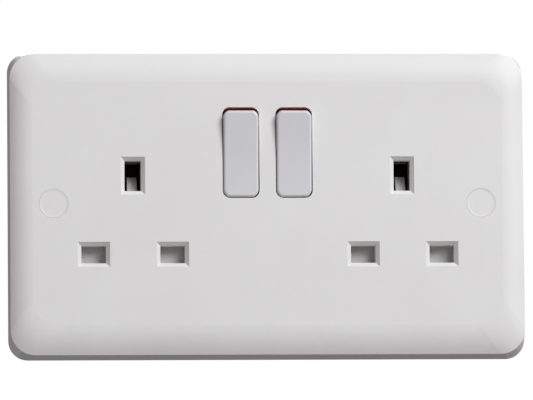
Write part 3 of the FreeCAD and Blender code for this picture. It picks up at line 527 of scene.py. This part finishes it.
# %% [markdown]
# The screws are zinc plated and clear passivated, so a faint blue and a faint yellow lie
# over the grey. The springs are drawn stainless wire: smoother, and streaked along the wire.

# %% Finishes: steel
metal_finish("screw_steel", (0.62, 0.63, 0.66), (0.56, 0.53, 0.44),
             1500.0, 320.0, 0.22, 0.45, 0.00003)
metal_finish("spring_steel", (0.68, 0.67, 0.65), (0.42, 0.39, 0.35),
             2200.0, 700.0, 0.15, 0.32, 0.00002)
print("finish", list(coat))

# %% [markdown]
# The plungers are turned from natural nylon: cream, waxy and a bit translucent, with
# grease smeared where they run on the see-saw contact.

# %% Finish: plunger nylon
tree, shader, place = begin_finish("plunger_nylon")
marks = use_group(tree, skin, place, Grain=3000.0, Flow=220.0)
hands = use_group(tree, handling, place, Smudges=450.0, Hairlines=180.0)
tone = mix_colours(tree, marks["Cloud"], (0.66, 0.62, 0.52), (0.74, 0.71, 0.62))
grease = ramp_between(tree, hands["Smudge"], 0.0, 1.0, 0.0, 0.4)
greased = mix_colours(tree, grease, tone, (0.4, 0.34, 0.22))
tree.links.new(greased, shader.inputs["Base Color"])
slick = ramp_between(tree, hands["Smudge"], 0.0, 1.0, 0.45, 0.22)
tree.links.new(slick, shader.inputs["Roughness"])
shader.inputs["Subsurface Weight"].default_value = 0.3
shader.inputs["Subsurface Radius"].default_value = (0.002, 0.0016, 0.001)
raise_surface(tree, shader, marks["Height"], 0.2, 0.00004)
print("finish", list(coat))

# %% [markdown]
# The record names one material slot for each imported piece, so one loop gives every
# piece its finish.

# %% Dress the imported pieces
slot_of = {part["node"]: part["material_slot"] for part in frame["record"]["subparts"]}


def dress(piece, slot):
    """Gives a piece the finish of its slot, in place of any material it came with."""
    piece.data.materials.clear()
    piece.data.materials.append(coat[slot])


for name, node in nodes.items():
    dress(node, slot_of[name])
print("dressed", len(nodes), "pieces in", len(coat), "finishes")

# %% [markdown]
# The springs and screws are modelled again here, because real wire has closed end turns
# and real screws have threads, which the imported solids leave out. Both are a small section swept
# along a helix. A screw modifier has one pitch only, so the section is extruded a step at a time
# instead: each step lifts its end face and turns it a little about Z, and the lift can change.

# %% Sweep a section along a helix
steps_per_turn = 20
closed_turns = 2
closed_pitch = 2.05
round_sides = 8
coil_crease = math.radians(50)


def wind(name, sides, radius, distance, lifts):
    """A closed tube: a small polygon at a distance from Z, turned one step for each lift."""
    bpy.ops.object.select_all(action="DESELECT")
    bpy.ops.mesh.primitive_circle_add(vertices=sides, radius=radius, fill_type="NGON",
                                      location=(0, 0, 0), rotation=(0, 0, 0))
    piece = bpy.context.object
    piece.name = name
    upright = Matrix.Rotation(math.radians(90), 4, "X") @ Matrix.Rotation(math.radians(-90), 4, "Z")
    piece.data.transform(Matrix.Translation((distance, 0, 0)) @ upright)
    bpy.ops.object.mode_set(mode="EDIT")
    bpy.ops.mesh.select_all(action="SELECT")
    for lift in lifts:
        bpy.ops.mesh.extrude_region_move(TRANSFORM_OT_translate={"value": (0, 0, lift)})
        bpy.ops.transform.rotate(value=2 * math.pi / steps_per_turn, orient_axis="Z",
                                 center_override=(0, 0, 0))
    bpy.ops.mesh.select_all(action="SELECT")
    bpy.ops.mesh.normals_make_consistent(inside=False)
    bpy.ops.object.mode_set(mode="OBJECT")
    bpy.ops.object.shade_smooth_by_angle(angle=coil_crease)
    return piece


def spring_lifts(length, wire, turns):
    """Lifts for a spring whose first and last turns lie closed on the next."""
    closed = wire * closed_pitch
    open_turns = turns - closed_turns
    pitch = (length - 2 * closed - 2 * wire) / open_turns
    per_turn = [closed] + [pitch] * open_turns + [closed]
    return [turn / steps_per_turn for turn in per_turn for step in range(steps_per_turn)]


def copy_mesh(piece, name, matrix):
    """A second piece with its own mesh, moved inside its mesh so that it stays at the origin."""
    twin = piece.copy()
    twin.data = piece.data.copy()
    twin.name = name
    twin.data.transform(matrix)
    scene.collection.objects.link(twin)
    return twin


trial_wire = 0.0002
trial = wind("trial_spring", round_sides, trial_wire, 0.001, spring_lifts(0.005, trial_wire, 4))
heights = [corner.co.z for corner in trial.data.vertices]
print("trial spring from", round(min(heights), 5), "to", round(max(heights), 5))
bpy.data.objects.remove(trial)

# %% [markdown]
# Each shutter is pushed up by a small spring that stands on a ledge behind the plate.
# It is wound once at the origin and copied to both ledges. When the shutter slides down, the spring is pressed
# flat towards its ledge.

# %% Shutter springs
wire_r = 0.00015
coil_r = 0.00085
shutter_turns = 9
low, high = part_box("shutter_spring_left")
length = high.z - low.z
pattern = wind("shutter_spring_pattern", round_sides, wire_r, coil_r,
               spring_lifts(length, wire_r, shutter_turns))
for side in ("left", "right"):
    low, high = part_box("shutter_spring_" + side)
    foot = Vector(((low.x + high.x) / 2, (low.y + high.y) / 2, low.z + wire_r))
    spring = copy_mesh(pattern, "wound_shutter_spring_" + side, Matrix.Translation(foot))
    dress(spring, "spring_steel")
    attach(spring, "root")
    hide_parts("shutter_spring_" + side)
    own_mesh(spring)
bpy.data.objects.remove(pattern)
print("shutter springs", round(length * 1000, 2), "mm long")

# %% [markdown]
# A stronger spring inside each rocker drives the plunger against the see-saw contact.
# It leans with the rocker, so it is wound upright, laid along Y, and turned about the rocker's pivot. Its section
# is thicker and its turns fewer, since it has to snap the contact over. The pivot and the lean are read from the
# joints of the imported model.

# %% Rocker springs
thick_wire_r = 0.0002
thick_coil_r = 0.00135
rocker_turns = 7
spring_start = -0.0091
spring_end = 0.0022
into_wall = Matrix.Rotation(math.radians(-90), 4, "X")


def rocker_pivot(side):
    """The middle of a rocker's pivot, and the turn that leans a level piece like the rocker."""
    pivot = Vector(joints["rocker_" + side + "_turn"]["pos_m"])
    turn = Matrix.Rotation(rocker_tilt, 4, "X")
    return pivot, Matrix.Translation(pivot) @ turn @ Matrix.Translation(-pivot)


length = spring_end - spring_start
pattern = wind("rocker_spring_pattern", round_sides, thick_wire_r, thick_coil_r,
               spring_lifts(length, thick_wire_r, rocker_turns))
for side in ("left", "right"):
    pivot, lean = rocker_pivot(side)
    level = Matrix.Translation((pivot.x, spring_start + thick_wire_r, pivot.z)) @ into_wall
    spring = copy_mesh(pattern, "wound_rocker_spring_" + side, lean @ level)
    dress(spring, "spring_steel")
    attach(spring, "rocker_" + side)
    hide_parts("rocker_spring_" + side)
    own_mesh(spring)
bpy.data.objects.remove(pattern)
print("rocker springs", round(length * 1000, 2), "mm long")

# %% [markdown]
# Above each rocker the picture shows dull red in the gap and no way through to the
# black parts. A real flag has a thin flange behind the plate that shuts the gap, so one is added:
# a cube pressed to a strip, with its edges beveled. One strip is made and copied, and each copy
# is leaned like its rocker and laid behind the upper end.

# %% Flag flanges
flange_half = 0.0042
flange_low = 0.0262
flange_high = 0.0284
flange_front = -0.0053
flange_back = -0.0048
flange_bevel = 0.00012


def block(name, matrix):
    """A box: a unit cube that a matrix sizes and places."""
    bpy.ops.object.select_all(action="DESELECT")
    bpy.ops.mesh.primitive_cube_add(size=1, location=(0, 0, 0))
    piece = bpy.context.object
    piece.name = name
    piece.data.transform(matrix)
    return piece


flange_size = Matrix.Diagonal((2 * flange_half, flange_back - flange_front,
                               flange_high - flange_low, 1))
pattern = block("flag_flange_pattern", flange_size)
bpy.ops.object.mode_set(mode="EDIT")
bpy.ops.mesh.select_all(action="SELECT")
bpy.ops.mesh.bevel(offset=flange_bevel, segments=2, affect="EDGES")
bpy.ops.object.mode_set(mode="OBJECT")
for side in ("left", "right"):
    pivot, lean = rocker_pivot(side)
    middle = Vector((pivot.x, (flange_front + flange_back) / 2, (flange_low + flange_high) / 2))
    flange = copy_mesh(pattern, "flag_flange_" + side, lean @ Matrix.Translation(middle))
    dress(flange, "flag_red")
    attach(flange, "rocker_" + side)
    print(flange.name, len(flange.data.polygons), "faces")
bpy.data.objects.remove(pattern)

# %% [markdown]
# A terminal screw is a slotted grub screw. Its blank is a cylinder with beveled ends,
# and its slot is a box taken away by a boolean. The thread is a three-sided section wound round
# it: the base of the triangle is sunk in the blank, and its crest stands at the full radius.

# %% Slotted screws
screw_r = 0.00195
thread_pitch = 0.0007
thread_depth = 0.0003
end_bevel = 0.0003
slot_width = 0.0008
slot_depth = 0.0009
head_share = 2.2
ridge_share = 1.3
flat_normal = 0.9
crease = math.radians(30)


def cut_away(piece, tool):
    """Takes one mesh out of another with a boolean, and removes the tool."""
    cutter = piece.modifiers.new("cut", "BOOLEAN")
    cutter.object = tool
    cutter.operation = "DIFFERENCE"
    cutter.solver = "EXACT"
    bpy.ops.object.select_all(action="DESELECT")
    bpy.context.view_layer.objects.active = piece
    piece.select_set(True)
    bpy.ops.object.modifier_apply(modifier=cutter.name)
    bpy.data.objects.remove(tool)


def join_meshes(name, parts):
    """Joins meshes into one piece with that name."""
    bpy.ops.object.select_all(action="DESELECT")
    for part in parts:
        part.select_set(True)
    bpy.context.view_layer.objects.active = parts[0]
    bpy.ops.object.join()
    parts[0].name = name
    return parts[0]


def blank(name, radius, start, end, bevel, faces=40):
    """A cylinder along Z with its two rims beveled, or sharp if the bevel is zero."""
    bpy.ops.object.select_all(action="DESELECT")
    bpy.ops.mesh.primitive_cylinder_add(vertices=faces, radius=radius, depth=end - start)
    piece = bpy.context.object
    piece.name = name
    piece.data.transform(Matrix.Translation((0, 0, (start + end) / 2)))
    bpy.ops.object.mode_set(mode="EDIT")
    bpy.ops.mesh.select_mode(type="FACE")
    bpy.ops.mesh.select_all(action="DESELECT")
    bpy.ops.object.mode_set(mode="OBJECT")
    for face in piece.data.polygons:
        face.select = abs(face.normal.z) > flat_normal
    bpy.ops.object.mode_set(mode="EDIT")
    if bevel > 0:
        bpy.ops.mesh.bevel(offset=bevel, segments=2, affect="EDGES")
    bpy.ops.object.mode_set(mode="OBJECT")
    return piece


def thread(name, crest_r, depth, pitch, run, foot):
    """A triangular ridge wound over a run along Z, from a foot on, out to its crest radius."""
    section_r = depth * ridge_share
    turns = int(run / pitch)
    ridge = wind(name, 3, section_r, crest_r - section_r,
                 [pitch / steps_per_turn] * (turns * steps_per_turn))
    ridge.data.transform(Matrix.Translation((0, 0, foot)))
    return ridge


def slotted_screw(name, length):
    """A slotted grub screw along Z from the origin to its length, its slot at the far end."""
    head_start = length - head_share * slot_depth
    core = blank(name + "_core", screw_r - thread_depth, 0.0, head_start + end_bevel, end_bevel)
    head = blank(name + "_head", screw_r, head_start, length, end_bevel)
    slot_size = Matrix.Diagonal((6 * screw_r, slot_width, 2 * slot_depth, 1))
    cut_away(head, block(name + "_slot", Matrix.Translation((0, 0, length)) @ slot_size))
    ridge = thread(name + "_ridge", screw_r, thread_depth, thread_pitch,
                   head_start - 2 * end_bevel, end_bevel + thread_depth)
    return join_meshes(name, [core, head, ridge])


for name in ("live", "neutral", "earth_left", "earth_right"):
    low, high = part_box("terminal_screw_" + name)
    screw = slotted_screw("slotted_screw_" + name, high.y - low.y)
    centre = Vector(((low.x + high.x) / 2, low.y, (low.z + high.z) / 2))
    screw.data.transform(Matrix.Translation(centre) @ into_wall)
    dress(screw, "screw_steel")
    bpy.ops.object.shade_smooth_by_angle(angle=crease)
    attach(screw, "screw_" + name)
    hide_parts("terminal_screw_" + name)
    print(screw.name, round((high.y - low.y) * 1000, 2), "mm,", len(screw.data.polygons), "faces")

# %% [markdown]
# Four screws clamp the black moulding to the back of the plate. They are pan-head screws for
# plastic: a beveled round head with a cross recess, a plain neck, and a coarse thread. The four
# are alike, so one is made, with the same sweep for its thread, and copied to the corners.

# %% Case screws
head_r = 0.0026
head_height = 0.0018
shank_r = 0.00135
coarse_pitch = 0.0012
coarse_depth = 0.0004
cross_reach = 0.0030
cross_width = 0.0006
cross_depth = 0.0011
cross_taper = 0.6
neck_overlap = 0.2
head_round = 0.4
threaded_share = 0.75
ridge_foot = 1.5


def cross_cutter(height):
    """A cross that narrows downwards, standing on a height along Z, to cut a recess."""
    sized = Matrix.Diagonal((cross_reach, cross_width, 2 * cross_depth, 1))
    bars = []
    for turn in (0, 90):
        turned = Matrix.Rotation(math.radians(turn), 4, "Z")
        bar = block("cross_bar", Matrix.Translation((0, 0, height)) @ turned @ sized)
        for corner in bar.data.vertices:
            if corner.co.z < height:
                corner.co.x = corner.co.x * cross_taper
                corner.co.y = corner.co.y * cross_taper
        bars.append(bar)
    return bars


low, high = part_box("case_screws")
length = high.y - low.y
neck = length - head_height
core = blank("case_core", shank_r - coarse_depth, 0.0, neck + neck_overlap * head_height, end_bevel)
head = blank("case_head", head_r, neck, length, head_round * head_height)
for bar in cross_cutter(length):
    cut_away(head, bar)
ridge = thread("case_ridge", shank_r, coarse_depth, coarse_pitch,
               threaded_share * neck, ridge_foot * coarse_depth)
pattern = join_meshes("case_screw_pattern", [core, head, ridge])
bpy.ops.object.shade_smooth_by_angle(angle=crease)
made = []
for column, x in (("left", low.x + head_r), ("right", high.x - head_r)):
    for row, z in (("upper", high.z - head_r), ("lower", low.z + head_r)):
        place = Matrix.Translation((x, low.y, z)) @ into_wall
        screw = copy_mesh(pattern, "case_screw_" + column + "_" + row, place)
        dress(screw, "screw_steel")
        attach(screw, "root")
        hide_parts("case_screws")
        made.append(screw.name)
bpy.data.objects.remove(pattern)
print("case screws", made, round(length * 1000, 2), "mm long")

# %% [markdown]
# The caps over the fixing screws are pushed in by hand and pressed down with a fingertip, so
# their faces are moulded with a very shallow dish. In the picture the rim of the dish draws a
# darker arc on the side of the lamp and a lighter one across from it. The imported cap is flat, so
# a cap is modelled again and copied: a cylinder whose face is inset in small steps to form the
# dish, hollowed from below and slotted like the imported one. It has the white of the plate.

# %% Dished screw caps
cap_sides = 96
cap_disc = 0.0012
cap_skirt = 0.0008
cap_slot = 0.0012
towards_room = Matrix.Rotation(math.radians(90), 4, "X")
dish_steps = ((0.00005, 0.0), (0.00038, -0.00008), (0.00015, -0.00001), (0.0005, 0.0))


def dished_cap(name, radius, height):
    """A cap along Z with a shallow dish in its upper face and a slotted skirt below."""
    cap = blank(name, radius, 0.0, height, 0.0, cap_sides)
    for face in cap.data.polygons:
        face.select = face.normal.z > flat_normal
    bpy.ops.object.mode_set(mode="EDIT")
    for reach, drop in dish_steps:
        bpy.ops.mesh.inset(thickness=reach, depth=drop)
    bpy.ops.object.mode_set(mode="OBJECT")
    skirt_height = height - cap_disc
    bore = blank(name + "_bore", radius - cap_skirt, -skirt_height, skirt_height, 0.0, cap_sides)
    cut_away(cap, bore)
    slot_size = Matrix.Diagonal((cap_slot, 3 * radius, 2 * skirt_height, 1))
    cut_away(cap, block(name + "_slot", slot_size))
    return cap


low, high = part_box("screw_cap_left")
pattern = dished_cap("dished_cap_pattern", (high.x - low.x) / 2, high.y - low.y)
bpy.ops.object.shade_smooth_by_angle(angle=crease)
for side in ("left", "right"):
    low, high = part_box("screw_cap_" + side)
    centre = Vector(((low.x + high.x) / 2, high.y, (low.z + high.z) / 2))
    place = Matrix.Translation(centre) @ towards_room
    cap = copy_mesh(pattern, "dished_cap_" + side, place)
    dress(cap, slot_of["screw_cap_" + side])
    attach(cap, "root")
    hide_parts("screw_cap_" + side)
    across = round((high.x - low.x) * 1000, 2)
    print(cap.name, across, "mm across,", len(cap.data.polygons), "faces")
bpy.data.objects.remove(pattern)

# %% [markdown]
# The box of the imported part, measured when it was loaded, is printed.

# %% Print the box of the imported part
print("box before", cad_box)
